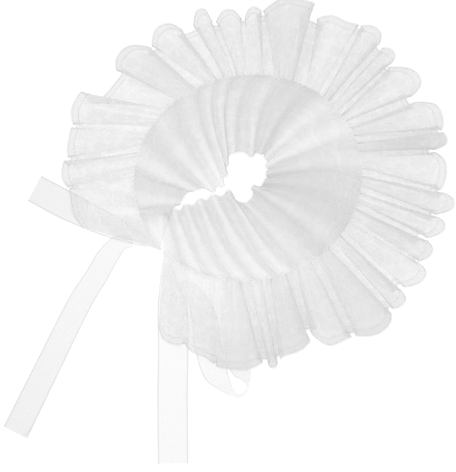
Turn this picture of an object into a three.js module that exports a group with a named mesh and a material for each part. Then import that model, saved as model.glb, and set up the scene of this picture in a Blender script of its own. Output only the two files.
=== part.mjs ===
// Detachable lace neck ruffle, laid out flat on a table as it comes off the neck.
// A gathered strip of sheer lace spreads outwards as the ruffle, a second one stands up and leans in over
// the neck opening as the frill, and a thick gathered neckband joins them. Both free edges carry a narrow
// lace edging, and two ribbon ties leave each end of the neckband.
// Millimetres and degrees. +Z is up, Z = 0 is the table, and angles run from +X towards +Y.
import * as THREE from "three";

// ---- Driving dimensions ----
const WALL = 1.2; // thickness of the ruffle's lace, folds and starch included
const FRILL_WALL = 1.0; // the frill is packed tighter, so it is the thinner cloth
const SEAM = 0.35; // clearance between two pieces where they are sewn together
const EDGING_WIDTH = 5.5; // of the lace edging beyond the strip that carries it

// The gathering line: an oval round the neck, open by a few degrees where the two ends meet.
const NECK = { x: 15.1, y: 40, radius: 77.8, oval: 4.3, turn: 12, first: 219.5, last: -139 };
const BAND = { width: 5, height: 2.6, stations: 89 };

// ---- The folds, clockwise from the end that lies on the left ----
// The ruffle's folds. root: angle at which the fold leaves the neckband. Each crest's left shoulder, tip and
// right shoulder on the free edge stand at an angle and a distance round the neck. rise: the crest's height.
// bed: the height of the hollow after it, 0 where the hollow lies on the table and more over the ties.
const RUFFLE_COLUMNS = "root left leftReach tip reach right rightReach rise bed".split(" ");
const RUFFLE_FOLDS = [
  [196, 196.6, 123.2, 189.8, 127.1, 183.6, 127.5, 7, 0],
  [170, 182.9, 128.3, 179.1, 131.8, 174.9, 130.8, 13, 0],
  [160, 173.6, 129.0, 168.8, 130.4, 164.1, 131.0, 7.5, 0],
  [147, 162.9, 129.6, 157.6, 134.0, 151.5, 134.3, 13, 0],
  [125, 140.9, 119.8, 135.5, 126.3, 126.8, 114.2, 14, 0],
  [110, 125.9, 115.5, 120.0, 123.9, 114.0, 113.5, 13, 0],
  [101, 109.7, 113.2, 105.7, 124.9, 103.1, 114.6, 10, 0],
  [94, 101.5, 112.4, 96.9, 120.4, 92.9, 113.2, 8.5, 0],
  [86, 90.7, 113.8, 88.6, 121.0, 85.1, 117.8, 11, 0],
  [70, 84.7, 117.9, 74.7, 130.7, 68.8, 131.3, 15.5, 0],
  [53, 66.4, 122.5, 60.6, 130.6, 53.9, 134.5, 6.5, 0],
  [45, 53.3, 133.9, 48.3, 139.7, 45.7, 131.9, 11, 0],
  [39, 43.9, 131.9, 40.5, 136.4, 38.6, 128.1, 12, 0],
  [32, 37.8, 126.7, 30.0, 141.3, 26.6, 128.8, 10, 0],
  [24, 24.4, 127.9, 19.2, 144.8, 13.8, 142.0, 8.5, 0],
  [15.5, 13.0, 141.0, 10.1, 143.4, 8.7, 131.9, 14.5, 0],
  [7, 7.8, 133.8, 2.9, 141.3, -3.6, 137.1, 7, 0],
  [-1.5, -4.5, 137.2, -7.3, 147.4, -11.0, 135.1, 12.5, 0],
  [-10, -11.8, 134.6, -13.6, 144.4, -18.5, 133.7, 9.5, 0],
  [-18, -19.4, 129.8, -21.6, 140.9, -25.8, 135.9, 12, 0],
  [-26, -26.8, 134.0, -28.6, 144.3, -35.0, 135.4, 9, 0],
  [-34, -36.4, 132.8, -38.2, 142.0, -42.4, 138.5, 12, 0],
  [-44, -43.4, 139.6, -47.2, 145.2, -56.0, 135.6, 8.5, 0],
  [-57, -56.9, 134.6, -62.1, 133.7, -68.1, 117.9, 12, 0],
  [-74, -69.1, 123.3, -76.4, 128.4, -80.0, 130.4, 14, 0],
  [-86, -80.9, 131.6, -82.4, 137.1, -84.0, 132.5, 10, 0],
  [-98, -85.6, 131.4, -93.0, 136.3, -99.4, 135.9, 13, 5],
  [-114, -100.5, 134.6, -106.0, 130.5, -110.4, 127.2, 10.5, 3.2],
  [-130, -111.5, 127.2, -115.6, 130.1, -121.2, 123.7, 9, 0],
];

// The frill's folds. root as above. x and y: where the crest meets the free edge, over the neck opening.
// rise: that point's height. half: half the crest's width, as a share of the way to the next crest. lean: how
// far the fold bows to the left, seen from the neckband.
const FRILL_COLUMNS = "root x y rise half lean".split(" ");
const FRILL_FOLDS = [
  [206, -40.3, 11.5, 6, 0.4, 0],
  [190, -30.2, 22.0, 24, 0.36, 0],
  [168, -23.0, 28.4, 28, 0.36, 2],
  [144, -12.2, 30.6, 29, 0.36, 3],
  [124, -5.8, 36.4, 29, 0.36, 4],
  [110, -0.7, 43.2, 30, 0.36, 6],
  [102, 1.8, 50.4, 30, 0.3, 5],
  [88, 6.5, 57.6, 30, 0.33, 8],
  [73, 15.1, 58.7, 31, 0.36, 8],
  [58, 23.8, 59.0, 31, 0.36, 5],
  [44, 29.5, 54.0, 29, 0.36, 2],
  [27, 31.7, 48.2, 29, 0.36, 2],
  [8, 32.8, 42.5, 28, 0.36, 4],
  [-13, 32.4, 36.7, 27, 0.36, 7],
  [-37, 23.8, 31.0, 26, 0.42, 3],
  [-58, 9.4, 24.8, 22, 0.26, 0],
  [-67, -0.4, 27.7, 22, 0.36, -4],
  [-79, -10.8, 25.9, 22, 0.36, -5],
  [-91, -20.5, 23.0, 21, 0.36, -5],
  [-104, -29.9, 19.4, 19, 0.36, -4],
  [-118, -37.8, 16.6, 18, 0.36, -2],
  [-131, -44.6, 14.4, 16, 0.36, 0],
];

// ---- The ribbon ties ----
// x, y, z: the middle of the ribbon. width: across it. bank: 0 where it lies flat, 90 where it stands on
// its right-hand edge, seen along the way it runs. The first row is the end sewn to the collar.
const RIBBON_WALL = 1.0;
const TIE_COLUMNS = "x y z width bank".split(" ");
const TIES = {
  tie_left_short: [
    [-58, -10.5, 0.5, 7, 0],
    [-74, -2, 0.5, 16, 0],
    [-92, 7.5, 0.5, 20, 0],
    [-116, 20.5, 0.5, 20.6, 0],
    [-138.5, 32.5, 0.5, 20.6, 0],
  ],
  tie_left_long: [
    [-66, -8.5, 1.8, 7, 0],
    [-77, -8.5, 1.8, 13, 0],
    [-86, -17, 1.8, 15.5, 0],
    [-93, -29, 1.2, 16, 0],
    [-105, -48, 0.5, 17, 0],
    [-128.5, -95, 0.5, 18, 0],
    [-152.3, -143.2, 0.5, 19, 0],
  ],
  tie_right_long: [
    [-44, -21, 0.5, 6, 0],
    [-42, -35, 0.5, 13, 0],
    [-39.5, -52, 0.5, 21, 0],
    [-38.8, -80, 0.5, 22, 0],
    [-39.2, -120, 0.5, 22, 0],
    [-38.8, -165.6, 0.5, 22, 0],
  ],
  tie_right_loop: [
    [-30.5, -33.5, 0.5, 6, 0],
    [-24, -43, 0.5, 12, 0],
    [-16.5, -60, 0.5, 18, 0],
    [-14, -80, 0.5, 19, 0],
    [-10, -95.5, 1.8, 19, 8],
    [-3.2, -107, 7.4, 19, 48],
    [3, -113.4, 9.4, 19, 70],
    [8.7, -116, 9.7, 19, 77],
    [12.9, -113.6, 9.8, 19, 79],
    [14.8, -108.2, 9.9, 19, 83],
    [13.6, -102, 8.8, 18, 66],
    [10.2, -96.5, 4.8, 17, 30],
    [6.8, -88, 1.4, 16, 6],
    [6, -76, 0.5, 15, 0],
  ],
};

// Rows of numbers as objects with the columns' names.
const named = (columns, rows) =>
  rows.map((row) => Object.fromEntries(columns.map((column, i) => [column, row[i]])));

// ---- Shared geometry ----
const degrees = THREE.MathUtils.degToRad;
const mix = THREE.MathUtils.lerp;

// A point at a distance and an angle round a centre.
function around(centre, angle, distance, z) {
  const turn = degrees(angle);
  return new THREE.Vector3(
    centre.x + distance * Math.cos(turn),
    centre.y + distance * Math.sin(turn),
    z,
  );
}

const neckRadius = (angle) => NECK.radius + NECK.oval * Math.cos(2 * degrees(angle - NECK.turn));

// Points spread along a smooth curve through the given ones, the same number on each stretch.
function along(points, perStretch) {
  const curve = new THREE.CatmullRomCurve3(points, false, "centripetal");
  return curve.getPoints((points.length - 1) * perStretch);
}

// The two faces of a wall round a grid of points grid[station][row]: half the thickness on either side.
function facesOf(grid, thickness) {
  const last = grid.length - 1;
  const rows = grid[0].length;
  const side = new THREE.Vector3();
  const down = new THREE.Vector3();
  return [0.5, -0.5].map((face) =>
    grid.map((line, j) =>
      line.map((point, k) => {
        side.subVectors(grid[Math.min(j + 1, last)][k], grid[Math.max(j - 1, 0)][k]);
        down.subVectors(line[Math.min(k + 1, rows - 1)], line[Math.max(k - 1, 0)]);
        const normal = new THREE.Vector3().crossVectors(down, side).normalize();
        return point.clone().addScaledVector(normal, face * thickness);
      }),
    ),
  );
}

// The closed solid between two such faces.
function solidBetween(faces) {
  const last = faces[0].length - 1;
  const rows = faces[0][0].length;
  const index = [];
  const quad = (a, b, c, d) => index.push(a, b, c, a, c, d);
  const top = (j, k) => j * rows + k;
  const under = (j, k) => (last + 1 + j) * rows + k;
  for (let j = 0; j < last; j++) {
    for (let k = 0; k < rows - 1; k++) {
      quad(top(j, k), top(j, k + 1), top(j + 1, k + 1), top(j + 1, k));
      quad(under(j, k), under(j + 1, k), under(j + 1, k + 1), under(j, k + 1));
    }
    quad(top(j, 0), top(j + 1, 0), under(j + 1, 0), under(j, 0));
    const k = rows - 1;
    quad(top(j, k), under(j, k), under(j + 1, k), top(j + 1, k));
  }
  for (let k = 0; k < rows - 1; k++) {
    quad(top(0, k), under(0, k), under(0, k + 1), top(0, k + 1));
    quad(top(last, k), top(last, k + 1), under(last, k + 1), under(last, k));
  }
  const position = faces.flat(2).flatMap((point) => point.toArray());
  const geometry = new THREE.BufferGeometry();
  geometry.setAttribute("position", new THREE.Float32BufferAttribute(position, 3));
  geometry.setIndex(index);
  geometry.computeVertexNormals();
  return geometry;
}

const wallGeometry = (grid, thickness) => solidBetween(facesOf(grid, thickness));

// ---- Gathered strips ----
// A fold's guides: its crest's left shoulder, blunt tip and right shoulder, then the hollow's two sides after
// it. Each has its root angle on the neckband and its point on the free edge. The hollow tucks in under the
// shoulders, so that the crests overhang it.
function guidesOf(crests, shape) {
  const border = (i) => {
    if (i < 0) return shape.first;
    return i === crests.length - 1 ? shape.last : (crests[i].root + crests[i + 1].root) / 2;
  };
  const guides = [];
  crests.forEach((crest, i) => {
    const cap = (shoulder) => {
      const point = shoulder.clone().lerp(crest.tip, shape.cap);
      const fuller = shoulder.clone().lerp(crest.tip, shape.fullness);
      const beyond = fuller.dot(crest.out) - point.dot(crest.out);
      return point.addScaledVector(crest.out, beyond).setZ(fuller.z);
    };
    const lean = crest.lean ?? 0;
    guides.push(
      { root: mix(crest.root, border(i - 1), 0.6), point: crest.left, crest: 1, lean },
      { root: mix(crest.root, border(i - 1), 0.2), point: cap(crest.left), crest: 1, lean },
      { root: mix(crest.root, border(i), 0.2), point: cap(crest.right), crest: 1, lean },
      { root: mix(crest.root, border(i), 0.6), point: crest.right, crest: 1, lean },
    );
    const next = crests[i + 1];
    if (!next) return;
    const gap = new THREE.Vector3().subVectors(next.left, crest.right).setZ(0);
    const half = Math.max(shape.hollow, gap.length() / 2 + shape.tuck);
    const ahead = new THREE.Vector3().subVectors(next.tip, crest.tip).setZ(0).normalize();
    const hollow = (side) => crest.hollow.clone().addScaledVector(ahead, side * half);
    guides.push(
      { root: mix(crest.root, border(i), 0.85), point: hollow(-1), crest: 0, lean },
      { root: mix(next.root, border(i), 0.85), point: hollow(1), crest: 0, lean: next.lean ?? 0 },
    );
  });
  guides[0].root = shape.first;
  guides.at(-1).root = shape.last;
  return guides;
}

// The strip's middle surface as grid[station][row], from the neckband to the free edge. shares are the
// rows' places across the strip, from 0 at the neckband to 1 at the edging's outer side.
function stripGrid(guides, shape, shares) {
  const edge = along(guides.map((guide) => guide.point), shape.perStretch);
  return edge.map((tip, j) => {
    const at = j / shape.perStretch;
    const from = guides[Math.floor(at)];
    const to = guides[Math.ceil(at)];
    const angle = mix(from.root, to.root, at % 1);
    const height = shape.rootHeight + shape.crimp * mix(from.crest, to.crest, at % 1);
    const root = around(NECK, angle, neckRadius(angle) + shape.rootOffset, height);
    const left = around({ x: 0, y: 0 }, angle + 90, mix(from.lean, to.lean, at % 1), 0);
    return shares.map((share) => {
      const point = root.clone().lerp(tip, shape.inwards(share));
      point.addScaledVector(left, Math.sin(Math.PI * share ** 0.7));
      return point.setZ(Math.max(shape.floor, mix(root.z, tip.z, shape.upwards(share))));
    });
  });
}

// ---- The outer ruffle ----
const RUFFLE = {
  first: 217, // just short of the neckband's end
  last: NECK.last,
  perStretch: 2,
  cap: 0.58, // where the blunt tip's corners stand on the way from a shoulder to the tip, and
  fullness: 0.9, // the share of the tip's reach and height that they have
  shoulder: 0.8, // a shoulder's height as a share of the way up from the hollow to the tip
  spacing: 2.2, // least distance between neighbouring shoulders
  tuck: 2.4,
  hollow: 2.2,
  notch: 1, // how far a hollow's edge stays behind the shoulders beside it
  sink: 0.6, // a hollow on the table is aimed this far into it, so that it rests flat
  rootOffset: BAND.width / 2 + SEAM + 0.2,
  rootHeight: 1.9,
  crimp: 0.25,
  floor: WALL / 2,
  width: 60,
  inwards: (share) => share,
  upwards: (share) => 1 - (1 - share) ** 1.7,
};

function ruffleCrests() {
  const folds = named(RUFFLE_COLUMNS, RUFFLE_FOLDS);
  return folds.map((fold, i) => {
    const low = fold.bed || -RUFFLE.sink;
    const next = folds[Math.min(i + 1, folds.length - 1)];
    const before = folds[Math.max(i - 1, 0)];
    const height = mix(Math.max(low, 0), fold.rise, RUFFLE.shoulder);
    const close = (gap) => THREE.MathUtils.radToDeg(Math.max(0, RUFFLE.spacing / fold.reach - degrees(gap)) / 2);
    const left = fold.left - (i > 0 ? close(before.right - fold.left) : 0);
    const right = fold.right + (next !== fold ? close(fold.right - next.left) : 0);
    const trough = Math.min(fold.rightReach, next.leftReach) - RUFFLE.notch;
    return {
      root: fold.root,
      out: around({ x: 0, y: 0 }, fold.tip, 1, 0),
      left: around(NECK, left, fold.leftReach, height),
      tip: around(NECK, fold.tip, fold.reach, fold.rise),
      right: around(NECK, right, fold.rightReach, height),
      hollow: around(NECK, (fold.right + next.left) / 2, trough, low),
    };
  });
}

// ---- The inner frill ----
const FRILL = {
  first: 218.5,
  last: NECK.last,
  perStretch: 2,
  cap: 0.5,
  fullness: 0.9,
  shoulder: 1.6, // how far the shoulders lie under the tip
  depth: 9, // of the hollows, with their edge this much further from the opening:
  further: 1.6,
  tuck: 0.6,
  hollow: 1.2,
  rootOffset: -(BAND.width / 2 + SEAM + FRILL_WALL / 2),
  rootHeight: 1.7,
  crimp: 0.25,
  floor: FRILL_WALL / 2,
  width: 68,
  inwards: (share) => share ** 1.2,
  upwards: (share) => 1 - (1 - share) ** 2.1,
};

function frillCrests() {
  const folds = named(FRILL_COLUMNS, FRILL_FOLDS);
  const tips = folds.map((fold) => new THREE.Vector3(fold.x, fold.y, fold.rise));
  const last = folds.length - 1;
  return folds.map((fold, i) => {
    const tip = tips[i];
    const next = tips[Math.min(i + 1, last)];
    const ahead = new THREE.Vector3().subVectors(next, tips[Math.max(i - 1, 0)]).setZ(0);
    const spacing = ahead.length() / (i > 0 && i < last ? 2 : 1);
    ahead.normalize();
    const out = new THREE.Vector3(ahead.y, -ahead.x, 0);
    const shoulder = (side) =>
      tip.clone().addScaledVector(ahead, side * fold.half * spacing).setZ(fold.rise - FRILL.shoulder);
    const across = new THREE.Vector3().subVectors(next, tip).setZ(0).normalize();
    const away = new THREE.Vector3(-across.y, across.x, 0);
    const hollow = tip.clone().lerp(next, 0.5).addScaledVector(away, FRILL.further);
    hollow.z -= FRILL.depth;
    return { root: fold.root, out, left: shoulder(-1), tip, right: shoulder(1), hollow, lean: fold.lean };
  });
}

// A gathered strip's two solids, the lace and the edging along its free edge.
function strip(crests, shape, wall) {
  const cloth = 1 - EDGING_WIDTH / shape.width;
  const shares = [0, 0.32 * cloth, 0.66 * cloth, cloth, 1];
  const faces = facesOf(stripGrid(guidesOf(crests, shape), shape, shares), wall);
  const rowsOf = (pick) => solidBetween(faces.map((face) => face.map(pick)));
  const seam = SEAM / EDGING_WIDTH;
  return {
    cloth: rowsOf((line) => line.slice(0, 4)),
    edging: rowsOf((line) => [line[3].clone().lerp(line[4], seam), line[4]]),
  };
}

// ---- The neckband ----
function neckbandGeometry() {
  const grid = [];
  for (let j = 0; j <= BAND.stations; j++) {
    const angle = mix(NECK.first, NECK.last, j / BAND.stations);
    const radius = neckRadius(angle);
    grid.push([-0.5, 0.5].map((side) => around(NECK, angle, radius + side * BAND.width, BAND.height / 2)));
  }
  return wallGeometry(grid, BAND.height);
}

// ---- A ribbon tie ----
function tieGeometry(rows) {
  const middle = along(rows.map((r) => new THREE.Vector3(r.x, r.y, r.z)), 3);
  const across = along(rows.map((r) => new THREE.Vector3(r.width, r.bank, 0)), 3);
  const ahead = new THREE.Vector3();
  const grid = middle.map((point, j) => {
    ahead.subVectors(middle[Math.min(j + 1, middle.length - 1)], middle[Math.max(j - 1, 0)]);
    const level = new THREE.Vector3(-ahead.y, ahead.x, 0).normalize();
    const lean = degrees(across[j].y);
    const reach = level.multiplyScalar(Math.cos(lean)).setZ(Math.sin(lean));
    return [0.5, -0.5].map((side) => {
      const end = point.clone().addScaledVector(reach, side * across[j].x);
      return end.setZ(Math.max(end.z, RIBBON_WALL / 2));
    });
  });
  return wallGeometry(grid, RIBBON_WALL);
}

// ---- Finishes ----
const finish = (color, roughness) =>
  new THREE.MeshStandardMaterial({ color, roughness, metalness: 0, side: THREE.DoubleSide });
const LACE = finish(0xf1f1ef, 0.8);
const EDGING = finish(0xf7f7f5, 0.85);
const TAPE = finish(0xf3f3f1, 0.7);
const ORGANZA = finish(0xf4f4f4, 0.45);

function piece(name, geometry, material) {
  const mesh = new THREE.Mesh(geometry, material.clone());
  mesh.name = name;
  return mesh;
}

// ---- The collar ----
const collar = new THREE.Group();
const ruffle = strip(ruffleCrests(), RUFFLE, WALL);
const frill = strip(frillCrests(), FRILL, FRILL_WALL);
collar.add(
  piece("outer_ruffle", ruffle.cloth, LACE),
  piece("outer_edging", ruffle.edging, EDGING),
  piece("inner_frill", frill.cloth, LACE),
  piece("inner_edging", frill.edging, EDGING),
  piece("neckband", neckbandGeometry(), TAPE),
);
for (const [name, rows] of Object.entries(TIES)) {
  collar.add(piece(name, tieGeometry(named(TIE_COLUMNS, rows)), ORGANZA));
}

export default collar;
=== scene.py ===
"""Detachable lace collar laid out flat: gathered ruffle, inner frill, picot edgings and ribbon ties."""

import math

import bpy
import numpy as np
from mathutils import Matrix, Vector


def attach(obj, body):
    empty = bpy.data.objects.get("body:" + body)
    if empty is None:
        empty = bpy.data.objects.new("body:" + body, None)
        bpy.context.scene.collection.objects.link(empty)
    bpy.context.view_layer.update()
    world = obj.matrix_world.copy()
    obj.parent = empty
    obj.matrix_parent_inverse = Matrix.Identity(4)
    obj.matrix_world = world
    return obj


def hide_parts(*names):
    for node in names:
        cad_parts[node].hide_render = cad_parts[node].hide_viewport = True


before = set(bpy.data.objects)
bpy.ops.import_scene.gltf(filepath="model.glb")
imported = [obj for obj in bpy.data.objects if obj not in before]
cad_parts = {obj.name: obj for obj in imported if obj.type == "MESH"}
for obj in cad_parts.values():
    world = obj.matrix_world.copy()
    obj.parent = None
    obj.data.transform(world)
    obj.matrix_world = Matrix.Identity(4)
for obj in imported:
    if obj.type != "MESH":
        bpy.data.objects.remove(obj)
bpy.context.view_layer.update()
MM = 0.001

# ---- Measures, in millimetres and degrees, in the CAD's frame ----
NECK = {"x": 15.1, "y": 40.0, "radius": 77.8, "oval": 4.3, "turn": 12.0, "first": 219.5, "last": -139.0}
BAND = {"width": 5.0, "base": 0.5, "crown": 1.7, "pleat": 2.3, "pleat_depth": 0.22, "stations": 1300}
BAND_STITCHES = {"at": 0.45, "width": 0.12, "depth": 0.35}  # at and width: shares of half the band's width
EDGING_WIDTH = 5.5
EDGING_LIFT = 0.3  # how far the edging's net and cords stand off the cloth
SEAM_CORD = 0.8  # the cord on the edging's seam, as a share of the one on its free edge
PICOT = {"pitch": 1.9, "width": 1.3, "height": 1.2}
GATHER_SHARE = 0.2  # how much of the fine gathers' fullness shows
GATHER_BLUR = 8  # stations over which that fullness is taken
MOST_GATHERED = 5  # times that the cloth is gathered at most
STEEPEST = 1.06  # how many layers a steep sheet counts as
FLOOR_GAP = 0.35  # how far a sheet keeps from the table that it lies on

# The ruffle's folds, clockwise from the end on the left. root: angle on the neckband. Left shoulder, tip and
# right shoulder of each crest: angle and reach round the neck. rise: crest height. bed: height of the hollow
# after it. under_left, under_right: how far the hollows on its two sides reach in under it. near, far: how
# many layers of lace lie in it, near the neckband and the free edge, with painted shade in them too: they are
# set higher where a fold lies in shade.
RUFFLE_COLUMNS = (
    "root left left_reach tip reach right right_reach rise bed under_left under_right near far".split()
)
RUFFLE_FOLDS = [
    [196, 196.6, 123.2, 189.8, 127.1, 183.6, 127.5, 7, 0, 0, 0, 1.2, 0.75],
    [170, 182.9, 128.3, 179.1, 131.8, 174.9, 130.8, 13, 0, 1, 3, 1, 1],
    [160, 173.6, 129.0, 168.8, 130.4, 164.1, 131.0, 7.5, 0, 2, 0, 1, 1],
    [147, 162.9, 129.6, 157.6, 134.0, 152.8, 132.6, 13, 0, 1, 1, 1, 1],
    [125, 140.9, 119.8, 135.5, 126.3, 126.8, 114.2, 14, 0, 2, 4, 1.3, 1.3],
    [110, 125.9, 115.5, 120.0, 123.9, 114.0, 113.5, 13, 0, 2, 4, 1.1, 1.1],
    [101, 109.7, 113.2, 105.7, 124.9, 103.1, 114.6, 10, 0, 4, 0, 1.1, 1.1],
    [94, 101.5, 112.4, 96.9, 120.4, 92.9, 113.2, 8.5, 0, 3, 0, 1.1, 1.1],
    [86, 90.7, 113.8, 88.6, 121.0, 85.1, 117.8, 11, 0, 0, 4, 1, 1],
    [70, 84.7, 117.9, 74.7, 130.7, 68.8, 131.3, 15.5, 0, 4, 4, 1.8, 1.8],
    [53, 66.4, 122.5, 60.6, 130.6, 53.9, 134.5, 6.5, 0, 4, 2, 1.15, 1.15],
    [45, 53.3, 133.9, 48.3, 139.7, 45.7, 131.9, 11, 0, 4, 4, 1.1, 1.1],
    [39, 43.9, 131.9, 40.5, 136.4, 38.6, 128.1, 12, 0, 2, 2, 1.1, 1.1],
    [32, 37.8, 126.7, 30.0, 141.3, 26.6, 128.8, 10, 0, 4, 4, 1.1, 1.1],
    [24, 24.4, 127.9, 19.2, 144.8, 13.8, 142.0, 8.5, 0, 4, 4, 1.5, 1.1],
    [15.5, 13.0, 141.0, 10.1, 143.4, 8.7, 131.9, 14.5, 0, 4, 4, 2.0, 2.6],
    [7, 7.8, 133.8, 2.9, 141.3, -3.6, 137.1, 7, 0, 1, 4, 1.3, 0.9],
    [-1.5, -4.5, 137.2, -7.3, 147.4, -11.0, 135.1, 12.5, 0, 4, 2, 1.4, 1.0],
    [-10, -11.8, 134.6, -13.6, 144.4, -18.5, 133.7, 9.5, 0, 4, 3, 1.4, 0.95],
    [-18, -19.4, 129.8, -21.6, 140.9, -25.8, 135.9, 12, 0, 4, 0, 1.6, 1.1],
    [-26, -26.8, 134.0, -28.6, 144.3, -35.0, 135.4, 9, 0, 0, 0, 1.4, 0.9],
    [-34, -36.4, 132.8, -38.2, 142.0, -42.4, 138.5, 12, 0, 4, 2, 1.5, 1.1],
    [-44, -43.4, 139.6, -47.2, 145.2, -56.0, 135.6, 8.5, 0, 4, 4, 2.4, 2.4],
    [-57, -56.9, 134.6, -62.1, 133.7, -68.1, 117.9, 12, 0, 4, 4, 1.3, 1.3],
    [-74, -69.1, 123.3, -76.4, 128.4, -80.0, 130.4, 14, 0, 4, 4, 2.2, 2.2],
    [-86, -80.9, 131.6, -82.4, 137.1, -84.0, 132.5, 10, 0, 2, 2, 1.5, 1.7],
    [-98, -85.6, 131.4, -93.0, 136.3, -99.4, 135.9, 13, 5, 4, 0, 1.3, 1.5],
    [-114, -100.5, 134.6, -106.0, 130.5, -110.4, 127.2, 10.5, 3.2, 0, 0, 0.55, 0.95],
    [-130, -111.5, 127.2, -115.6, 130.1, -121.2, 123.7, 9, 0, 0, 0, 0.75, 0.65],
]

# The frill's folds. x, y, rise: where the crest meets the free edge. half: half the crest's width, as a share
# of the way to the next one. lean: how far the fold bows to the left, seen from the neckband. near, far: how
# many layers of lace lie in it, near the neckband and the free edge, with painted shade in them too: they are
# set higher where a fold lies in shade.
FRILL_COLUMNS = "root x y rise half lean near far".split()
FRILL_FOLDS = [
    [206, -40.3, 11.5, 6, 0.4, 0, 1.3, 1.0],
    [190, -32.4, 22.0, 24, 0.36, 0, 1.5, 1.4],
    [168, -22.5, 30.0, 28, 0.36, 2, 2.2, 1.2],
    [144, -10.1, 28.8, 29, 0.36, 3, 2.3, 0.6],
    [124, -2.2, 33.2, 29, 0.36, 4, 2.3, 0.4],
    [110, 0.7, 41.4, 30, 0.36, 6, 2.3, 0.7],
    [102, 1.7, 49.0, 30, 0.3, 5, 2.3, 0.9],
    [88, 4.3, 56.0, 30, 0.33, 8, 2.4, 1.0],
    [73, 16.8, 53.4, 31, 0.36, 8, 2.4, 1.2],
    [58, 23.0, 55.4, 31, 0.36, 5, 5.5, 2.2],
    [44, 26.2, 52.9, 29, 0.36, 2, 0.8, 0.8],
    [27, 26.9, 47.5, 29, 0.36, 2, 0.9, 0.9],
    [8, 27.0, 41.8, 28, 0.36, 4, 1.1, 2.2],
    [-13, 26.0, 36.7, 27, 0.36, 7, 2.2, 4.4],
    [-37, 17.8, 32.9, 26, 0.42, 3, 2.0, 2.2],
    [-58, 13.4, 21.6, 22, 0.26, 0, 0.9, 1.3],
    [-67, 1.9, 30.4, 22, 0.36, -4, 0.8, 1.2],
    [-79, -9.7, 27.0, 22, 0.36, -5, 0.75, 1.1],
    [-91, -19.8, 24.1, 21, 0.36, -5, 0.75, 1.1],
    [-104, -29.5, 20.2, 19, 0.36, -4, 0.75, 1.1],
    [-118, -37.8, 16.6, 18, 0.36, -2, 0.7, 1.0],
    [-131, -44.6, 14.4, 16, 0.36, 0, 0.95, 0.9],
]

# How closely each tie's weave lies where it is sewn on, half-way, past the ruffle's edge, and at its cut end.
TIE_WEAVE_AT = [0, 0.5, 0.6, 1]
TIE_WEAVE = {
    "tie_left_short": (0.9, 0.9, 1.7, 2.0),
    "tie_left_long": (1.0, 1.3, 1.45, 2.0),
    "tie_right_long": (0.7, 0.85, 0.9, 0.95),
    "tie_right_loop": (0.7, 0.9, 1.0, 1.1),
}

# The ribbon ties: x, y and z of the ribbon's middle, its width, and its bank, 0 where it lies flat and 90 on
# its right-hand edge.
TIES = {
    "tie_left_short": [
        [-57, -7, 0.5, 6, 0],
        [-74, 1, 0.5, 14, 0],
        [-92, 9, 0.5, 18, 0],
        [-116, 20.5, 0.5, 20.6, 0],
        [-138.5, 32.5, 0.5, 20.6, 0],
    ],
    "tie_left_long": [
        [-68, -6, 1.8, 7, 0],
        [-77, -7, 1.8, 12, 0],
        [-86, -17, 1.8, 15.5, 0],
        [-93, -29, 1.2, 16, 0],
        [-105, -48, 0.5, 17, 0],
        [-128.5, -95, 0.5, 18, 0],
        [-152.3, -143.2, 0.5, 19, 0],
    ],
    "tie_right_long": [
        [-44, -21, 0.5, 6, 0],
        [-42, -35, 0.5, 13, 0],
        [-39.5, -52, 0.5, 21, 0],
        [-38.8, -80, 0.5, 22, 0],
        [-39.2, -120, 0.5, 22, 0],
        [-38.8, -165.6, 0.5, 22, 0],
    ],
    "tie_right_loop": [
        [-30.5, -33.5, 0.5, 6, 0],
        [-24, -43, 0.5, 12, 0],
        [-16.5, -60, 0.5, 18, 0],
        [-14, -80, 0.5, 19, 0],
        [-10, -95.5, 1.8, 19, 8],
        [-3.2, -107, 7.4, 19, 48],
        [3, -113.4, 9.4, 19, 70],
        [8.7, -116, 9.7, 19, 77],
        [12.9, -113.6, 9.8, 19, 79],
        [14.8, -108.2, 9.9, 19, 83],
        [13.6, -102, 8.8, 18, 66],
        [10.2, -96.5, 4.8, 17, 30],
        [6.8, -88, 1.4, 16, 6],
        [6, -76, 0.5, 15, 0],
    ],
}

# How a ribbon is made. steps: points between two rows of its table. rows: across it. station: between two
# crossings of its mesh. ripple: its ripples' depth. broad, fine: their sizes. wave: radians across it.
RIBBON = {"steps": 24, "rows": 15, "station": 1.4, "ripple": 0.35, "broad": 17, "fine": 9, "wave": 5}


# ---- Curves and grids ----
def rows(columns, table):
    """A table's rows as dictionaries."""
    return [dict(zip(columns, row)) for row in table]


def around(angle, reach, z=0.0, centre=(NECK["x"], NECK["y"])):
    """The point at an angle and a distance round the middle of the neck."""
    turn = math.radians(angle)
    return np.array([centre[0] + reach * math.cos(turn), centre[1] + reach * math.sin(turn), z])


def neck_radius(angle):
    """Half the width of the oval gathering line."""
    return NECK["radius"] + NECK["oval"] * np.cos(2 * np.radians(angle - NECK["turn"]))


def smooth_curve(points, per):
    """A centripetal Catmull-Rom curve through points, with per steps on each stretch."""
    p = np.asarray(points, float)
    p = np.vstack([2 * p[0] - p[1], p, 2 * p[-1] - p[-2]])
    out = []
    for i in range(1, len(p) - 2):
        a, b, c, d = p[i - 1 : i + 3]
        gaps = [np.linalg.norm(after - before) for before, after in ((a, b), (b, c), (c, d))]
        t = np.cumsum([0.0] + [max(gap, 1e-6) ** 0.5 for gap in gaps])
        s = np.linspace(t[1], t[2], per, endpoint=False)[:, None]
        ab = (t[1] - s) / (t[1] - t[0]) * a + (s - t[0]) / (t[1] - t[0]) * b
        bc = (t[2] - s) / (t[2] - t[1]) * b + (s - t[1]) / (t[2] - t[1]) * c
        cd = (t[3] - s) / (t[3] - t[2]) * c + (s - t[2]) / (t[3] - t[2]) * d
        abc = (t[2] - s) / (t[2] - t[0]) * ab + (s - t[0]) / (t[2] - t[0]) * bc
        bcd = (t[3] - s) / (t[3] - t[1]) * bc + (s - t[1]) / (t[3] - t[1]) * cd
        out.append((t[2] - s) / (t[2] - t[1]) * abc + (s - t[1]) / (t[2] - t[1]) * bcd)
    out.append(p[-2:-1])
    return np.vstack(out)


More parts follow.
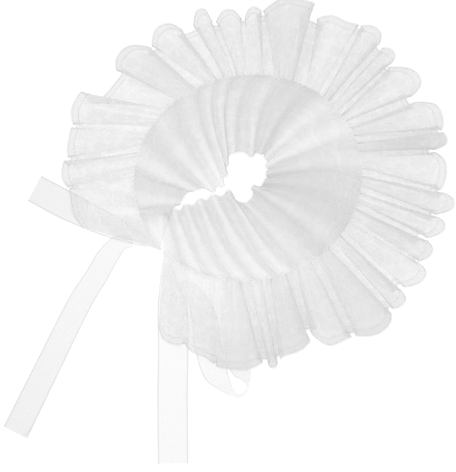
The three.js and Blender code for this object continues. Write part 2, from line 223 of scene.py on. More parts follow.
def lengths(points):
    """Distance along a row of points."""
    return np.concatenate([[0.0], np.cumsum(np.linalg.norm(np.diff(points, axis=0), axis=1))])


def resample(points, values, step):
    """points and values at even steps along points."""
    s = lengths(points)
    n = max(2, int(round(s[-1] / step)) + 1)
    at = np.linspace(0, s[-1], n)
    stack = np.column_stack([points, values])
    return np.column_stack([np.interp(at, s, stack[:, k]) for k in range(stack.shape[1])])


def blur(values, sigma):
    """Gaussian smoothing along the first axis, with the ends kept."""
    reach = int(3 * sigma)
    kernel = np.exp(-0.5 * (np.arange(-reach, reach + 1) / sigma) ** 2)
    kernel /= kernel.sum()
    first, last = values[:1], values[-1:]
    padded = np.vstack([2 * first - values[reach:0:-1], values, 2 * last - values[-2 : -reach - 2 : -1]])
    return np.column_stack([np.convolve(padded[:, k], kernel, "valid") for k in range(values.shape[1])])


def noise_row(at, size, seed):
    """Smooth random values between -1 and 1 along a row of distances, one knot for each size."""
    knots = np.random.default_rng(seed).uniform(-1, 1, int(at.max() / size) + 4)
    x = at / size
    i = x.astype(int)
    share = smooth_share(x - i)
    return knots[i] * (1 - share) + knots[i + 1] * share


def smooth_share(share):
    """A share from 0 to 1, eased at both ends."""
    return share * share * (3 - 2 * share)


def unit(vectors):
    """Vectors along the last axis, made 1 long."""
    return vectors / np.maximum(np.linalg.norm(vectors, axis=-1, keepdims=True), 1e-9)


def normals_of(grid):
    """The sheet's normal at each point of its grid."""
    side = np.gradient(grid, axis=0)
    down = np.gradient(grid, axis=1)
    return unit(np.cross(down, side))


def new_object(name, verts, faces, material, smooth=True):
    """A mesh object from vertices in millimetres."""
    mesh = bpy.data.meshes.new(name)
    mesh.from_pydata([tuple(v) for v in np.asarray(verts) * MM], [], faces)
    mesh.polygons.foreach_set("use_smooth", [smooth] * len(mesh.polygons))
    mesh.materials.append(material)
    obj = bpy.data.objects.new(name, mesh)
    bpy.context.scene.collection.objects.link(obj)
    return obj


def sheet_object(name, grid, cut, material, body=1.0):
    """A single sheet of cloth from grid[station][row].

    Its UVs are its place on the flat cut, in metres. body says how many layers of cloth it stands for; for the
    gathered strips it also carries painted shade and painted highlights.
    """
    n, m = grid.shape[:2]
    index = np.arange(n * m).reshape(n, m)
    corners = [index[:-1, :-1], index[:-1, 1:], index[1:, 1:], index[1:, :-1]]
    quads = np.stack(corners, axis=-1).reshape(-1, 4)
    obj = new_object(name, grid.reshape(-1, 3), quads.tolist(), material)
    mesh = obj.data
    layer = mesh.uv_layers.new(name="cut")
    loops = np.empty(len(mesh.loops), dtype=np.int64)
    mesh.loops.foreach_get("vertex_index", loops)
    layer.data.foreach_set("uv", (cut.reshape(-1, 2)[loops] * MM).ravel())
    layers_and_painted_light = blur(fullness(grid, cut), 1.5) * body
    mesh.attributes.new("layers_and_painted_light", "FLOAT", "POINT").data.foreach_set("value", layers_and_painted_light.ravel())
    return obj


def fullness(grid, cut):
    """How many layers of flat cloth lie in the sheet, by its fine gathers and how steeply it stands."""
    made = np.linalg.norm(np.gradient(grid, axis=0), axis=2)
    flat = np.abs(np.gradient(cut[..., 0], axis=0))
    reach = np.maximum(blur(made, GATHER_BLUR), 1e-6)
    gathers = np.clip(blur(flat, GATHER_BLUR) / reach, 1, MOST_GATHERED) ** GATHER_SHARE
    slope = np.clip(1 / np.maximum(np.abs(normals_of(grid)[..., 2]), 0.2), 1, STEEPEST)
    return gathers * slope


# ---- Gathered strips ----
# Where a crest's shoulders, its cap and the tucks beside it leave the neckband: shares of the crest's own root
# and of the place midway to the next one's.
SHOULDER_ROOT, CAP_ROOT, TUCK_ROOT = (0.4, 0.6), (0.8, 0.2), (0.15, 0.85)
GUIDE_STEPS = 16  # points between two guides of the free edge
BOW_POWER = 0.7  # a fold bows most where the share of its reach, to this power, is a half
FOLD_BLUR = 6  # stations over which one fold's layers run into the next one's
ROOT_PAINTED_LIGHT_REACH = 2.0  # how far from the stitches the cloth is made thinner and so lighter, painted light against the shade there
# The painted highlight streaks: their noise seed, the noise level below which there are none, how much they
# fade towards the free edge, and how much thicker the cloth between them is made.
STREAK = {"seed": 61, "least": 0.4, "fade": 0.75, "between": 1.06}
WANDER = {"depth": 1.1, "size": 5.0}  # how unevenly the gathers are spaced
GATHERS_START = 1.5  # how far from the stitches the gathers are at their full depth
RIPPLE = {"broad": 5.5, "broad_depth": 0.32, "fine": 2.6, "fine_depth": 0.12}
RIPPLES_START = 18  # how far from the stitches the ripples are at their full depth
SWAY = {"size": 13.0, "turn": 5.0, "depth": 0.35}  # turn: radians between the stitches and the free edge


def guides_of(crests, shape):
    """The root angles and free-edge points of the folds' guides, with what else each one carries.

    That is how much of a crest it is, and its fold's lean and layers near the neckband and the free edge.
    """

    def border(i):
        if i < 0:
            return shape["first"]
        return shape["last"] if i == len(crests) - 1 else (crests[i]["root"] + crests[i + 1]["root"]) / 2

    roots, points, others = [], [], []

    def add(crest, side, shares, point, on_crest, shift=0):
        roots.append(crest["root"] * shares[0] + border(side) * shares[1] + shift)
        points.append(point)
        others.append((on_crest, *crest["more"]))

    def cap(crest, shoulder):
        point = shoulder + (crest["tip"] - shoulder) * shape["cap"]
        fuller = shoulder + (crest["tip"] - shoulder) * shape["fullness"]
        point = point + crest["out"] * np.dot(fuller - point, crest["out"])
        point[2] = fuller[2]
        return point

    for i, crest in enumerate(crests):
        add(crest, i - 1, SHOULDER_ROOT, crest["left"], 1)
        add(crest, i - 1, CAP_ROOT, cap(crest, crest["left"]), 1)
        add(crest, i, CAP_ROOT, cap(crest, crest["right"]), 1)
        add(crest, i, SHOULDER_ROOT, crest["right"], 1)
        if i + 1 == len(crests):
            break
        following = crests[i + 1]
        ahead = (following["tip"] - crest["tip"]) * [1, 1, 0]
        ahead /= np.linalg.norm(ahead)
        gap = np.linalg.norm((following["left"] - crest["right"])[:2]) / 2
        behind, before = crest["under"][1], following["under"][0]
        back = math.degrees(shape["root_under"] / NECK["radius"])
        add(crest, i, TUCK_ROOT, crest["hollow"] - ahead * (gap + behind), 0, behind * back)
        add(following, i, TUCK_ROOT, crest["hollow"] + ahead * (gap + before), 0, -before * back)
    roots[0], roots[-1] = shape["first"], shape["last"]
    return np.array(roots), np.array(points), np.array(others, float)


def strip_grid(crests, shape):
    """The strip's sheet as grid[station][row], its flat cut, its angles on the neckband and its layers."""
    roots, points, others = guides_of(crests, shape)
    edge = smooth_curve(points, GUIDE_STEPS)
    share = np.linspace(0, len(roots) - 1, len(edge))
    known = np.column_stack([np.interp(share, np.arange(len(roots)), v) for v in (roots, *others.T)])
    edge = resample(edge, known, shape["step"])
    edge = blur(edge, shape["softness"])
    edge[:, 2] = np.maximum(edge[:, 2], FLOOR_GAP)
    tip, (angle, crest, lean, near, far) = edge[:, :3], edge[:, 3:].T
    radius = neck_radius(angle) + shape["root_offset"]
    turn = np.radians(angle)
    root = np.column_stack([NECK["x"] + radius * np.cos(turn), NECK["y"] + radius * np.sin(turn)])
    root_z = shape["root_height"] + shape["crimp"] * crest
    v = np.linspace(0, 1, shape["rows"])
    inwards, upwards = v ** shape["inwards"], 1 - (1 - v) ** shape["upwards"]
    flat = root[:, None, :] + (tip[:, None, :2] - root[:, None, :]) * inwards[None, :, None]
    left = np.column_stack([-np.sin(turn), np.cos(turn)])
    flat += left[:, None, :] * (lean[:, None] * np.sin(math.pi * v**BOW_POWER)[None, :])[..., None]
    height = root_z[:, None] + (tip[:, None, 2] - root_z[:, None]) * upwards[None, :]
    grid = np.concatenate([flat, height[..., None]], axis=2)
    s = lengths(tip)
    cut = np.stack(np.broadcast_arrays(s[:, None], v[None, :] * shape["width"]), axis=2)
    return grid, cut, angle, layers_and_painted_light_of(near, far, crest, s, v, shape)


def layers_and_painted_light_of(near, far, crest, s, v, shape):
    """How many layers of lace the strip stands for, with painted light and shade in it: its folds (partly
    painted shade), a painted highlight and shade across each fold, painted highlight streaks, and painted light
    by the stitches.
    """
    share = smooth_share(v)[None, :]
    # near and far carry painted shade as well as layers of lace.
    body = near[:, None] * (1 - share) + far[:, None] * share
    line = np.clip(crest[:, None], 0, 1) ** shape["line"]
    # Painted highlight and painted shade across each fold: one of crest and hollow is made thinner, the other
    # thicker.
    body = blur(body, FOLD_BLUR) * (1 + shape["ridge"] * (1 / (1 + shape["line"]) - line))
    # Painted light by the stitches: the cloth there is made thinner, so lighter, against the shade there.
    body = body * (1 - shape["root_painted_light"] * np.exp(-v[None, :] * shape["width"] / ROOT_PAINTED_LIGHT_REACH))
    # Painted highlight streaks: narrow lines made lighter, fading towards the free edge.
    streak = np.clip(noise_row(s, shape["streak_width"], STREAK["seed"]) - STREAK["least"], 0, 1)
    streak = streak[:, None] * (1 - STREAK["fade"] * v[None, :])
    return body * (STREAK["between"] - shape["streaks"] * streak)


def crimp(grid, cut, angle, shape, seed):
    """Adds the gathers next to the stitches and the small ripples of the cloth."""
    normal = normals_of(grid)
    along_root = np.abs(np.radians(angle - angle[0])) * NECK["radius"]
    reach = cut[..., 1]
    wander = along_root + WANDER["depth"] * noise_row(along_root, WANDER["size"], seed)
    gathers = np.sin(wander * 2 * math.pi / shape["gather"])[:, None] * shape["gather_depth"]
    gathers = gathers * np.exp(-reach / shape["gather_reach"]) * np.clip(reach / GATHERS_START, 0, 1)
    s = cut[:, 0, 0]
    ripple = noise_row(s, RIPPLE["broad"], seed + 1)[:, None] * RIPPLE["broad_depth"]
    ripple = ripple + noise_row(s, RIPPLE["fine"], seed + 2)[:, None] * RIPPLE["fine_depth"]
    ripple = ripple * np.clip(reach / RIPPLES_START, 0, 1)
    sway = noise_row(s, SWAY["size"], seed + 3)[:, None] * np.sin(reach / shape["width"] * SWAY["turn"])
    sway = sway * SWAY["depth"]
    grid = grid + normal * (gathers + ripple + sway)[..., None]
    grid[..., 2] = np.maximum(grid[..., 2], FLOOR_GAP)
    return grid


# What both strips are made by.
# first, last: angles of the two ends. width: from the stitches to the free edge. step: between two stations.
# cap, fullness: where the guide between a crest's shoulder and its tip lies, as shares of the way along the
# edge, and of the way outwards and upwards.
# root_offset, root_height, root_under: where it leaves the neckband, and how far the tucks go back there.
# crimp: how much higher a crest starts. softness: the free edge's blur, in stations. cord: the cord's radius.
# inwards, upwards: powers by which it goes from the neckband to the free edge, in plan and in height.
# gather, gather_depth, gather_reach: the fine gathers' spacing, depth and length.
# ridge, line: how much thinner a crest is made than a hollow, which paints a highlight along the crest lines
# and shade in the hollows (the other way round where ridge is negative), and how narrow that line is.
# streaks, streak_width, root_painted_light: how much lighter the painted highlight streaks are made, and their
# width; and how much lighter the cloth by the stitches is made, painted light against the shade there.
RUFFLE = {
    "first": 221.0,
    "last": NECK["last"],
    "width": 60.0,
    "step": 0.85,
    "rows": 40,
    "cap": 0.58,
    "fullness": 0.9,
    "shoulder": 0.8,  # height of a crest's shoulders, as a share of its own
    "spacing": 1.2,  # room between two crests
    "notch": 1.0,  # how far back the free edge of a hollow lies
    "sink": 0.6,  # how far a hollow would go under the table
    "root_offset": 0.0,
    "root_height": 2.9,
    "root_under": 0.7,
    "crimp": 0.25,
    "inwards": 1,
    "upwards": 1.7,
    "softness": 2.2,
    "cord": 0.16,
    "gather": 3.4,
    "gather_depth": 0.55,
    "gather_reach": 10.0,
    # ridge is negative here: painted highlights along the hollows, painted shade on the crests.
    "ridge": -0.25,
    "line": 1,
    # streaks: painted highlight streaks.
    "streaks": 1.0,
    "streak_width": 2.6,
    # root_painted_light: painted light by the stitches.
    "root_painted_light": 0.32,
}


def ruffle_crests():
    """The ruffle's crests from its table of folds."""
    folds = rows(RUFFLE_COLUMNS, RUFFLE_FOLDS)
    crests = []
    for i, fold in enumerate(folds):
        low = fold["bed"] or -RUFFLE["sink"]
        following = folds[min(i + 1, len(folds) - 1)]
        before = folds[max(i - 1, 0)]
        height = max(low, 0) + (fold["rise"] - max(low, 0)) * RUFFLE["shoulder"]

        def close(gap):
            return math.degrees(max(0, RUFFLE["spacing"] / fold["reach"] - math.radians(gap)) / 2)

        left = fold["left"] - (close(before["right"] - fold["left"]) if i else 0)
        right = fold["right"] + (close(fold["right"] - following["left"]) if following is not fold else 0)
        trough = min(fold["right_reach"], following["left_reach"]) - RUFFLE["notch"]
        crests.append(
            {
                "root": fold["root"],
                "out": around(fold["tip"], 1, 0, (0, 0)),
                "left": around(left, fold["left_reach"], height),
                "tip": around(fold["tip"], fold["reach"], fold["rise"]),
                "right": around(right, fold["right_reach"], height),
                "hollow": around((fold["right"] + following["left"]) / 2, trough, low),
                "under": (fold["under_left"], fold["under_right"]),
                "more": (0, fold["near"], fold["far"]),
            }
        )
    return crests


FRILL = {
    "first": 218.5,
    "last": NECK["last"],
    "width": 68.0,
    "step": 0.6,
    "rows": 48,
    "cap": 0.5,
    "fullness": 0.9,
    "shoulder": 1.6,  # how far a crest's shoulders lie below its tip
    "crest": 0.45,  # width of the crests, as a share of what the table gives
    "depth": 6.5,  # of a hollow below the crests
    "further": 2.5,  # how far a hollow's free edge lies beyond the crests'
    "under": -0.15,  # how far a hollow reaches in under a crest, as a share of their spacing
    "root_offset": 0.1,
    "root_height": 3.1,
    "root_under": 0.6,
    "crimp": 0.25,
    "inwards": 1.08,
    "upwards": 2.1,
    "softness": 5.0,
    "cord": 0.08,
    "gather": 3.0,
    "gather_depth": 0.5,
    "gather_reach": 9.0,
    # ridge: painted highlights along the crests, painted shade in the hollows.
    "ridge": 0.9,
    "line": 3,
    # streaks: painted highlight streaks.
    "streaks": 0.6,
    "streak_width": 2.2,
    # root_painted_light: painted light by the stitches.
    "root_painted_light": 0.32,
}


def frill_crests():
    """The frill's crests from its table of folds."""
    folds = rows(FRILL_COLUMNS, FRILL_FOLDS)
    tips = [np.array([f["x"], f["y"], f["rise"]], float) for f in folds]
    last = len(folds) - 1
    crests = []
    for i, fold in enumerate(folds):
        following, before = tips[min(i + 1, last)], tips[max(i - 1, 0)]
        ahead = (following - before) * [1, 1, 0]
        ahead /= np.linalg.norm(ahead)
        across = (following - tips[i]) * [1, 1, 0]
        across /= max(np.linalg.norm(across), 1e-9)
        low = np.array([0, 0, -FRILL["shoulder"]])
        hollow = (tips[i] + following) / 2 + np.array([-across[1], across[0], 0]) * FRILL["further"]
        hollow[2] -= FRILL["depth"]
        spacing = np.linalg.norm((following - before)[:2]) / (1 if i in (0, last) else 2)
        half = ahead * fold["half"] * FRILL["crest"] * spacing
        crests.append(
            {
                "root": fold["root"],
                "out": np.array([ahead[1], -ahead[0], 0]),
                "left": tips[i] - half + low,
                "tip": tips[i],
                "right": tips[i] + half + low,
                "hollow": hollow,
                "under": (FRILL["under"] * spacing, FRILL["under"] * spacing),
                "more": (fold["lean"], fold["near"], fold["far"]),
            }
        )
    return crests


# ---- Materials ----
class Nodes:
    """Short ways to make shader nodes."""

    def __init__(self, name):
        self.material = bpy.data.materials.new(name)
        self.material.use_nodes = True
        self.tree = self.material.node_tree
        self.tree.nodes.clear()

    def node(self, kind, inputs=(), **settings):
        n = self.tree.nodes.new(kind)
        for key, value in settings.items():
            setattr(n, key, value)
        for key, value in dict(inputs).items():
            socket = n.inputs[key]
            if isinstance(value, bpy.types.NodeSocket):
                self.tree.links.new(value, socket)
            else:
                socket.default_value = value
        return n

    def math(self, operation, *values, clamp=False):
        return self.node("ShaderNodeMath", enumerate(values), operation=operation, use_clamp=clamp).outputs[0]

    def vector(self, operation, *values):
        n = self.node("ShaderNodeVectorMath", enumerate(values), operation=operation)
        return n.outputs["Value"] if operation in ("LENGTH", "DOT_PRODUCT", "DISTANCE") else n.outputs["Vector"]

    def ramp(self, value, low, high, to_low=0.0, to_high=1.0):
        """value mapped smoothly from low..high to to_low..to_high."""
        n = self.node(
            "ShaderNodeMapRange",
            {"Value": value, "From Min": low, "From Max": high, "To Min": to_low, "To Max": to_high},
            interpolation_type="SMOOTHSTEP",
        )
        return n.outputs["Result"]


TURN = 6.28  # a whole turn, in radians


def on_cut(g):
    """The place on the flat cut."""
    return g.node("ShaderNodeUVMap", uv_map="cut").outputs["UV"]


def flat_place(g, scale):
    """The place on the flat cut, in units of scale metres."""
    return g.node("ShaderNodeVectorMath", {0: on_cut(g), 3: 1 / scale}, operation="SCALE").outputs["Vector"]


def scattered(g, place, moved_by, randomness):
    """The place as seen from the middle of its scattered cell, and that cell's random values."""
    moved = g.vector("ADD", place, (*moved_by, 0))
    cell = g.node(
        "ShaderNodeTexVoronoi",
        {"Vector": moved, "Scale": 1.0, "Randomness": randomness},
        voronoi_dimensions="2D",
    ).outputs
    random = g.node("ShaderNodeSeparateColor", {0: cell["Color"]}).outputs
    return g.vector("SUBTRACT", moved, cell["Position"]), random


def flowers(g, place, size, petals, seed):
    """Share of thread, 0 to 1, in scattered flowers with this many petals and a ringed heart."""
    local, random = scattered(g, place, (seed * 3.7, seed * 1.9), 0.55)
    parts = g.node("ShaderNodeSeparateXYZ", {0: local}).outputs
    turn = g.math("MULTIPLY", random[0], TURN)
    angle = g.math("ADD", g.math("ARCTAN2", parts[1], parts[0]), turn)
    wave = g.math("ABSOLUTE", g.math("COSINE", g.math("MULTIPLY", angle, petals / 2)))
    reach = g.math("MULTIPLY_ADD", g.math("POWER", wave, 0.6), size * 0.5, size * 0.5)
    r = g.vector("LENGTH", local)
    inside = g.ramp(g.math("SUBTRACT", reach, r), 0.0, 0.05)
    rim = g.ramp(g.math("ABSOLUTE", g.math("SUBTRACT", reach, r)), 0.07, 0.03)
    heart = g.ramp(g.math("ABSOLUTE", g.math("SUBTRACT", r, size * 0.2)), 0.06, 0.02)
    body = g.math("MULTIPLY", inside, 0.6)
    return g.math("MAXIMUM", g.math("MAXIMUM", body, rim), heart)


def leaves(g, place, length, seed):
    """Share of thread in scattered leaf shapes."""
    local, random = scattered(g, place, (seed * 5.3, seed * 2.1), 0.8)
    turn = g.math("MULTIPLY", random[1], TURN)
    spun = g.node(
        "ShaderNodeVectorRotate", {"Vector": local, "Angle": turn}, rotation_type="Z_AXIS"
    ).outputs["Vector"]
    parts = g.node("ShaderNodeSeparateXYZ", {0: spun}).outputs
    across = g.math("DIVIDE", g.math("ABSOLUTE", parts[1]), length * 0.36)
    ahead = g.math("POWER", g.math("DIVIDE", g.math("ABSOLUTE", parts[0]), length), 2.0)
    form = g.math("SUBTRACT", g.math("SUBTRACT", 1.0, ahead), across)
    return g.ramp(form, 0.0, 0.18, 0.0, 0.85)


def stems(g, place, width):
    """Share of thread in winding stems."""
    bend = g.node("ShaderNodeTexNoise", {"Vector": place, "Scale": 0.9, "Detail": 1.0}, noise_dimensions="2D")
    off = g.math("ABSOLUTE", g.math("SUBTRACT", bend.outputs[0], 0.5))
    return g.ramp(off, width, width * 0.35, 0.0, 0.8)


def cloth_shader(g, cover, colour, through, bump_height, bump, shine=0.35):
    """A sheer cloth: cover is the share of thread in one layer, and the sheet says how many it stands for, a
    count that also carries painted shade and painted highlights.
    """
    layers_and_painted_light = g.node("ShaderNodeAttribute", attribute_name="layers_and_painted_light").outputs["Fac"]
    gaps = g.math("SUBTRACT", 1.0, cover)
    alpha = g.math("SUBTRACT", 1.0, g.math("POWER", gaps, layers_and_painted_light), clamp=True)
    normal = g.node(
        "ShaderNodeBump", {"Height": bump_height, "Strength": bump, "Distance": 0.0004}
    ).outputs["Normal"]
    front = g.node(
        "ShaderNodeBsdfPrincipled",
        {
            "Base Color": (*colour, 1),
            "Roughness": 0.7,
            "Sheen Weight": shine,
            "Sheen Roughness": 0.4,
            "Normal": normal,
        },
    )
    behind = g.node("ShaderNodeBsdfTranslucent", {"Color": (*colour, 1), "Normal": normal})
    cloth = g.node("ShaderNodeMixShader", {0: through, 1: front.outputs[0], 2: behind.outputs[0]})
    clear = g.node("ShaderNodeBsdfTransparent")
    mixed = g.node("ShaderNodeMixShader", {0: alpha, 1: clear.outputs[0], 2: cloth.outputs[0]})
    g.node("ShaderNodeOutputMaterial", {"Surface": mixed.outputs[0]})
    return g.material


FLOWER_FIELD = 0.011  # metres between two flowers
NET_MESH = 0.0014  # metres between two holes of the net
NET_RELIEF = 0.025  # how much more the net's threads cover, and how much less its holes
EDGING_WAVE = 0.0011  # metres between two bars of the edging


def lace_material(name, ground, motif, colour):
    """Net with scattered flowers, leaves and stems. ground and motif: the share of thread in each."""
    g = Nodes(name)
    place = flat_place(g, FLOWER_FIELD)
    pattern = g.math("MAXIMUM", flowers(g, place, 0.36, 5, 1), leaves(g, place, 0.3, 2))
    pattern = g.math("MAXIMUM", pattern, stems(g, place, 0.035))
    net = g.node(
        "ShaderNodeTexVoronoi",
        {"Vector": flat_place(g, NET_MESH), "Scale": 1.0, "Randomness": 0.25},
        voronoi_dimensions="2D",
        feature="DISTANCE_TO_EDGE",
    ).outputs["Distance"]
    mesh = g.ramp(net, 0.02, 0.2, ground + NET_RELIEF, ground - NET_RELIEF)
    broad = {"Vector": place, "Scale": 0.35, "Detail": 2.0}
    tone = g.node("ShaderNodeTexNoise", broad, noise_dimensions="2D")
    mesh = g.math("ADD", mesh, g.math("MULTIPLY_ADD", tone.outputs[0], 0.12, -0.06))
    cover = g.math("MULTIPLY_ADD", pattern, motif - ground, mesh, clamp=True)
    return cloth_shader(g, cover, colour, 0.4, pattern, 0.4)


def edging_material(name, cover, colour):
    """The edging's net, with close bars across it."""
    g = Nodes(name)
    bars = {"Vector": flat_place(g, EDGING_WAVE), "Scale": 0.5, "Distortion": 0.0}
    wave = g.node("ShaderNodeTexWave", bars, bands_direction="X")
    share = g.ramp(wave.outputs[1], 0.2, 0.8, cover - 0.12, cover + 0.12)
    return cloth_shader(g, share, colour, 0.35, wave.outputs[1], 0.4)


def ribbon_material(name, colour):
    """Sheer organza with a closely woven edge on each side. The cut's V runs from 0 to 1 across it."""
    g = Nodes(name)
    uv = on_cut(g)
    across = g.node("ShaderNodeSeparateXYZ", {0: uv}).outputs[1]
    edge = g.math("SUBTRACT", 0.5, g.math("ABSOLUTE", g.math("SUBTRACT", across, 0.5)))
    selvedge = g.ramp(edge, 0.055, 0.03, 0.0, 0.5)
    weave = g.node("ShaderNodeTexNoise", {"Vector": uv, "Scale": 40.0, "Detail": 1.0}, noise_dimensions="2D")
    cover = g.math("ADD", selvedge, g.math("MULTIPLY_ADD", weave.outputs[0], 0.03, 0.3), clamp=True)
    return cloth_shader(g, cover, colour, 0.35, weave.outputs[0], 0.2, 0.6)


def thread_material(name, colour):
    """Matt thread."""
    g = Nodes(name)
    grain = g.node("ShaderNodeTexNoise", {"Scale": 900.0, "Detail": 2.0})
    normal = g.node(
        "ShaderNodeBump", {"Height": grain.outputs[0], "Strength": 0.5, "Distance": 0.0003}
    ).outputs["Normal"]
    matt = {"Base Color": (*colour, 1), "Roughness": 0.85, "Normal": normal}
    front = g.node("ShaderNodeBsdfPrincipled", matt)
    g.node("ShaderNodeOutputMaterial", {"Surface": front.outputs[0]})
    return g.material


def white(brightness):
    """A neutral colour."""
    return (brightness,) * 3


lace = lace_material("lace", 0.575, 0.72, white(0.867))
# The frill's lace and edging: denser, and darker in colour, which is painted shade for the lesser light that
# reaches the frill.
doubled_shaded_lace = lace_material("doubled_lace_painted_shade", 0.6, 0.7, white(0.79))
edge_net = edging_material("edging", 0.57, white(0.867))
doubled_shaded_net = edging_material("doubled_edging_painted_shade", 0.6, white(0.815))
thread = thread_material("thread", white(0.865))
organza = ribbon_material("organza", white(0.785))


# ---- The cloth ----
def tube(points, radius, sides=5):
    """A thin cord along points: vertices and faces."""
    ahead = unit(np.gradient(points, axis=0))
    side = unit(np.cross(ahead, [0.0, 0.0, 1.0]))
    over = np.cross(side, ahead)
    turn = (np.arange(sides) * 2 * math.pi / sides)[None, :, None]
    ring = side[:, None, :] * np.cos(turn) + over[:, None, :] * np.sin(turn)
    verts = (points[:, None, :] + ring * radius).reshape(-1, 3)
    n = len(points)
    j = np.arange(n - 1)[:, None] * sides
    k = np.arange(sides)[None, :]
    k2 = (k + 1) % sides
    quads = np.stack([j + k, j + k2, j + sides + k2, j + sides + k], axis=-1).reshape(-1, 4)
    caps = [list(range(sides))[::-1], [int((n - 1) * sides + q) for q in range(sides)]]
    return verts, quads.tolist() + caps


def joined(name, pieces, material):
    """One object from many pieces' vertices and faces."""
    verts, faces, count = [], [], 0
    for v, f in pieces:
        verts.append(v)
        faces += [[i + count for i in face] for face in f]
        count += len(v)
    return new_object(name, np.vstack(verts), faces, material)


def picots(line, out, radius):
    """A row of small thread loops along line, standing out from it."""
    s = lengths(line)
    turn = np.linspace(0, math.pi, 6)
    across, away_by = -np.cos(turn) * PICOT["width"] / 2, np.sin(turn) * PICOT["height"]

    def at_length(place, values):
        return np.array([np.interp(place, s, values[:, k]) for k in range(3)])

    pieces = []
    for at in np.arange(PICOT["pitch"] / 2, s[-1] - PICOT["pitch"] / 2, PICOT["pitch"]):
        spot = at_length(at, line)
        along = unit(at_length(at + 0.5, line) - spot)
        loop = spot + np.outer(across, along) + np.outer(away_by, at_length(at, out))
        loop[:, 2] = np.maximum(loop[:, 2], radius)
        pieces.append(tube(loop, radius, 4))
    return pieces


def gathered(side, name, crests, shape, seed, material, net_material):
    """The strip's sheet, and on its free side the edging's net, two cords and picots."""
    grid, cut, angle, body = strip_grid(crests, shape)
    grid = crimp(grid, cut, angle, shape, seed)
    seam = int(np.searchsorted(np.linspace(0, 1, shape["rows"]), 1 - EDGING_WIDTH / shape["width"]))
    strip, trimmed = slice(0, seam + 1), slice(seam, None)
    cloth = sheet_object(name, grid[:, strip], cut[:, strip], material, body[:, strip])
    normal = normals_of(grid)
    raised = grid + normal * np.where(normal[..., 2:] < 0, -1, 1) * EDGING_LIFT
    net = sheet_object(side + "_net", raised[:, trimmed], cut[:, trimmed], net_material, body[:, trimmed])
    cords = [tube(raised[:, -1], shape["cord"]), tube(raised[:, seam], shape["cord"] * SEAM_CORD)]
    cords += picots(raised[:, -1], unit(grid[:, -1] - grid[:, -3]), shape["cord"])
    trim = joined(side + "_picots", cords, thread)
    row_lengths = [lengths(grid[:, k])[-1] for k in range(seam + 1)]
    return cloth, net, trim, (max(row_lengths) * MM, float(np.mean(row_lengths)) * MM)


def finish_strip(name, edging, made, width):
    """Says what a gathered strip's pieces ride on and replace."""
    cloth, net, trim, (longest, middle) = made
    for piece in (cloth, net, trim):
        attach(piece, "root")
    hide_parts(name)
    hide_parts(edging)
    width = (width - EDGING_WIDTH) * MM


RUFFLE_SEED, FRILL_SEED = 11, 23
ruffle = gathered("outer", "outer_ruffle_cloth", ruffle_crests(), RUFFLE, RUFFLE_SEED, lace, edge_net)
frill = gathered("inner", "inner_frill_cloth", frill_crests(), FRILL, FRILL_SEED, doubled_shaded_lace, doubled_shaded_net)


def neckband():
    """The gathered and stitched middle: a ring of fine pleats with two rows of stitching sunk into it."""
    angle = np.linspace(NECK["first"], NECK["last"], BAND["stations"])
    radius = neck_radius(angle)
    s = np.abs(np.radians(angle - angle[0])) * radius
    pleat = BAND["pleat_depth"] * np.sin(s * 2 * math.pi / BAND["pleat"] + 1.5 * noise_row(s, 7, 3))
    q = np.linspace(-1, 1, 15)
    profile = np.sqrt(np.clip(1 - np.abs(q) ** 3, 0, 1))
    rows_at = BAND_STITCHES["at"], -BAND_STITCHES["at"]
    stitches = sum(np.exp(-(((q - at) / BAND_STITCHES["width"]) ** 2)) for at in rows_at)
    height = BAND["base"] + BAND["crown"] * profile[None, :] - BAND_STITCHES["depth"] * stitches[None, :]
    height = height + pleat[:, None] * profile
    inner = radius - BAND["width"] / 2
    outer = radius + BAND["width"] / 2
    r = inner[:, None] + (outer - inner)[:, None] * (q[None, :] + 1) / 2
    turn = np.radians(angle)[:, None]
    grid = np.stack([NECK["x"] + r * np.cos(turn), NECK["y"] + r * np.sin(turn), height], axis=2)
    cut = np.stack(np.broadcast_arrays(s[:, None], (q[None, :] + 1) * BAND["width"] / 2), axis=2)
    # The band's lace is made far sheerer than the strips': painted light, so that the shade among the layers at
    # the stitches doesn't show as a dark ring.
    return sheet_object("neckband_pleats", grid, cut, lace_material("band", 0.15, 0.21, white(0.867)))


band = neckband()
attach(band, "root")
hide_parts("neckband")
finish_strip("outer_ruffle", "outer_edging", ruffle, RUFFLE["width"])
finish_strip("inner_frill", "inner_edging", frill, FRILL["width"])


def ribbon(name, table, seed):
    """One ribbon tie along the middle line that its table gives."""
    curve = smooth_curve(table, RIBBON["steps"])
    s = lengths(curve[:, :3])
    at = np.linspace(0, s[-1], int(s[-1] / RIBBON["station"]))
    curve = np.column_stack([np.interp(at, s, values) for values in curve.T])
    ahead = np.gradient(curve[:, :3], axis=0)
    level = unit(np.column_stack([-ahead[:, 1], ahead[:, 0]]))
    bank = np.radians(curve[:, 4:])
    reach = np.hstack([level * np.cos(bank), np.sin(bank)])
    q = np.linspace(0.5, -0.5, RIBBON["rows"])
    grid = curve[:, None, :3] + reach[:, None, :] * (q[None, :, None] * curve[:, None, 3:4])
    ripple = noise_row(at, RIBBON["broad"], seed)[:, None] * np.cos(q * RIBBON["wave"])[None, :]
    ripple = ripple + noise_row(at, RIBBON["fine"], seed + 1)[:, None] * q
    grid[..., 2] = np.maximum(grid[..., 2] + RIBBON["ripple"] * ripple, FLOOR_GAP)
    cut = np.stack(np.broadcast_arrays(at[:, None], (q[None, :] + 0.5) / MM), axis=2)
    weave = np.interp(at / at[-1], TIE_WEAVE_AT, TIE_WEAVE[name])[:, None]
    tie = sheet_object(name + "_ribbon", grid, cut, organza, weave)
    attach(tie, "root")
    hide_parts(name)


for i, (name, table) in enumerate(TIES.items()):
    ribbon(name, table, seed=40 + 3 * i)


# ---- Table, light and camera ----
TABLE_SIZE = 6000


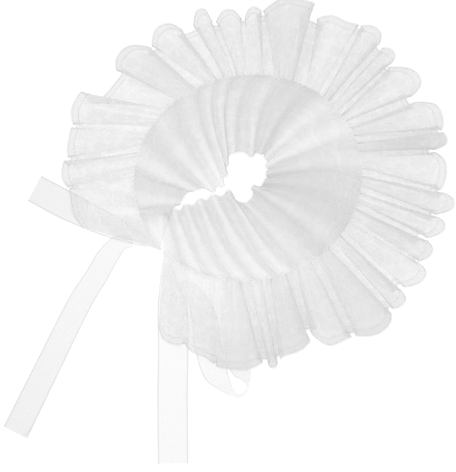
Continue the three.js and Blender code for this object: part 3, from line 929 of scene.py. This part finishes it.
def lay_table():
    """A plain table that gives off light of its own, so that it shows white."""
    g = Nodes("table")
    grain = g.node("ShaderNodeTexNoise", {"Scale": 30.0, "Detail": 2.0})
    normal = g.node("ShaderNodeBump", {"Height": grain.outputs[0], "Strength": 0.02}).outputs["Normal"]
    paint = g.node(
        "ShaderNodeBsdfPrincipled",
        {
            "Base Color": (0.18, 0.18, 0.18, 1),
            "Roughness": 0.9,
            "Normal": normal,
            "Emission Color": (1, 1, 1, 1),
            "Emission Strength": 0.88,
        },
    )
    g.node("ShaderNodeOutputMaterial", {"Surface": paint.outputs[0]})
    half = TABLE_SIZE / 2
    corners = [(-half, -half, 0), (half, -half, 0), (half, half, 0), (-half, half, 0)]
    top = new_object("table", corners, [[0, 1, 2, 3]], g.material, smooth=False)


def lamp(name, place, power, size, aim=(0.01, 0.0, 0.0)):
    """A soft round lamp at a place, in metres, turned to the collar."""
    light = bpy.data.lights.new(name, "AREA")
    light.energy = power
    light.shape = "DISK"
    light.size = size
    obj = bpy.data.objects.new(name, light)
    obj.location = place
    obj.rotation_euler = (Vector(aim) - Vector(place)).to_track_quat("-Z", "Y").to_euler()
    bpy.context.scene.collection.objects.link(obj)


lay_table()
lamp("key", (-1.1, 1.0, 1.3), 7.0, 0.5)
lamp("fill", (1.2, -0.9, 1.6), 2.0, 1.0)

scene = bpy.context.scene
world = bpy.data.worlds.new("studio")
world.use_nodes = True
background = world.node_tree.nodes["Background"].inputs
background["Color"].default_value = (1, 1, 1, 1)
background["Strength"].default_value = 0.71
scene.world = world
scene.view_settings.view_transform = "Standard"
scene.cycles.transparent_max_bounces = 64

FRAME_HEIGHT = 472 * 0.72 * MM  # the picture's taller side on the table: its pixels, by millimetres a pixel
LENS, SENSOR = 100.0, 36.0
camera = bpy.data.cameras.new("camera")
camera.lens = LENS
camera.sensor_width = SENSOR
camera.sensor_fit = "AUTO"
eye = bpy.data.objects.new("camera", camera)
eye.location = (0.7 * MM, -1.8 * MM, FRAME_HEIGHT * LENS / SENSOR)
scene.collection.objects.link(eye)
scene.camera = eye
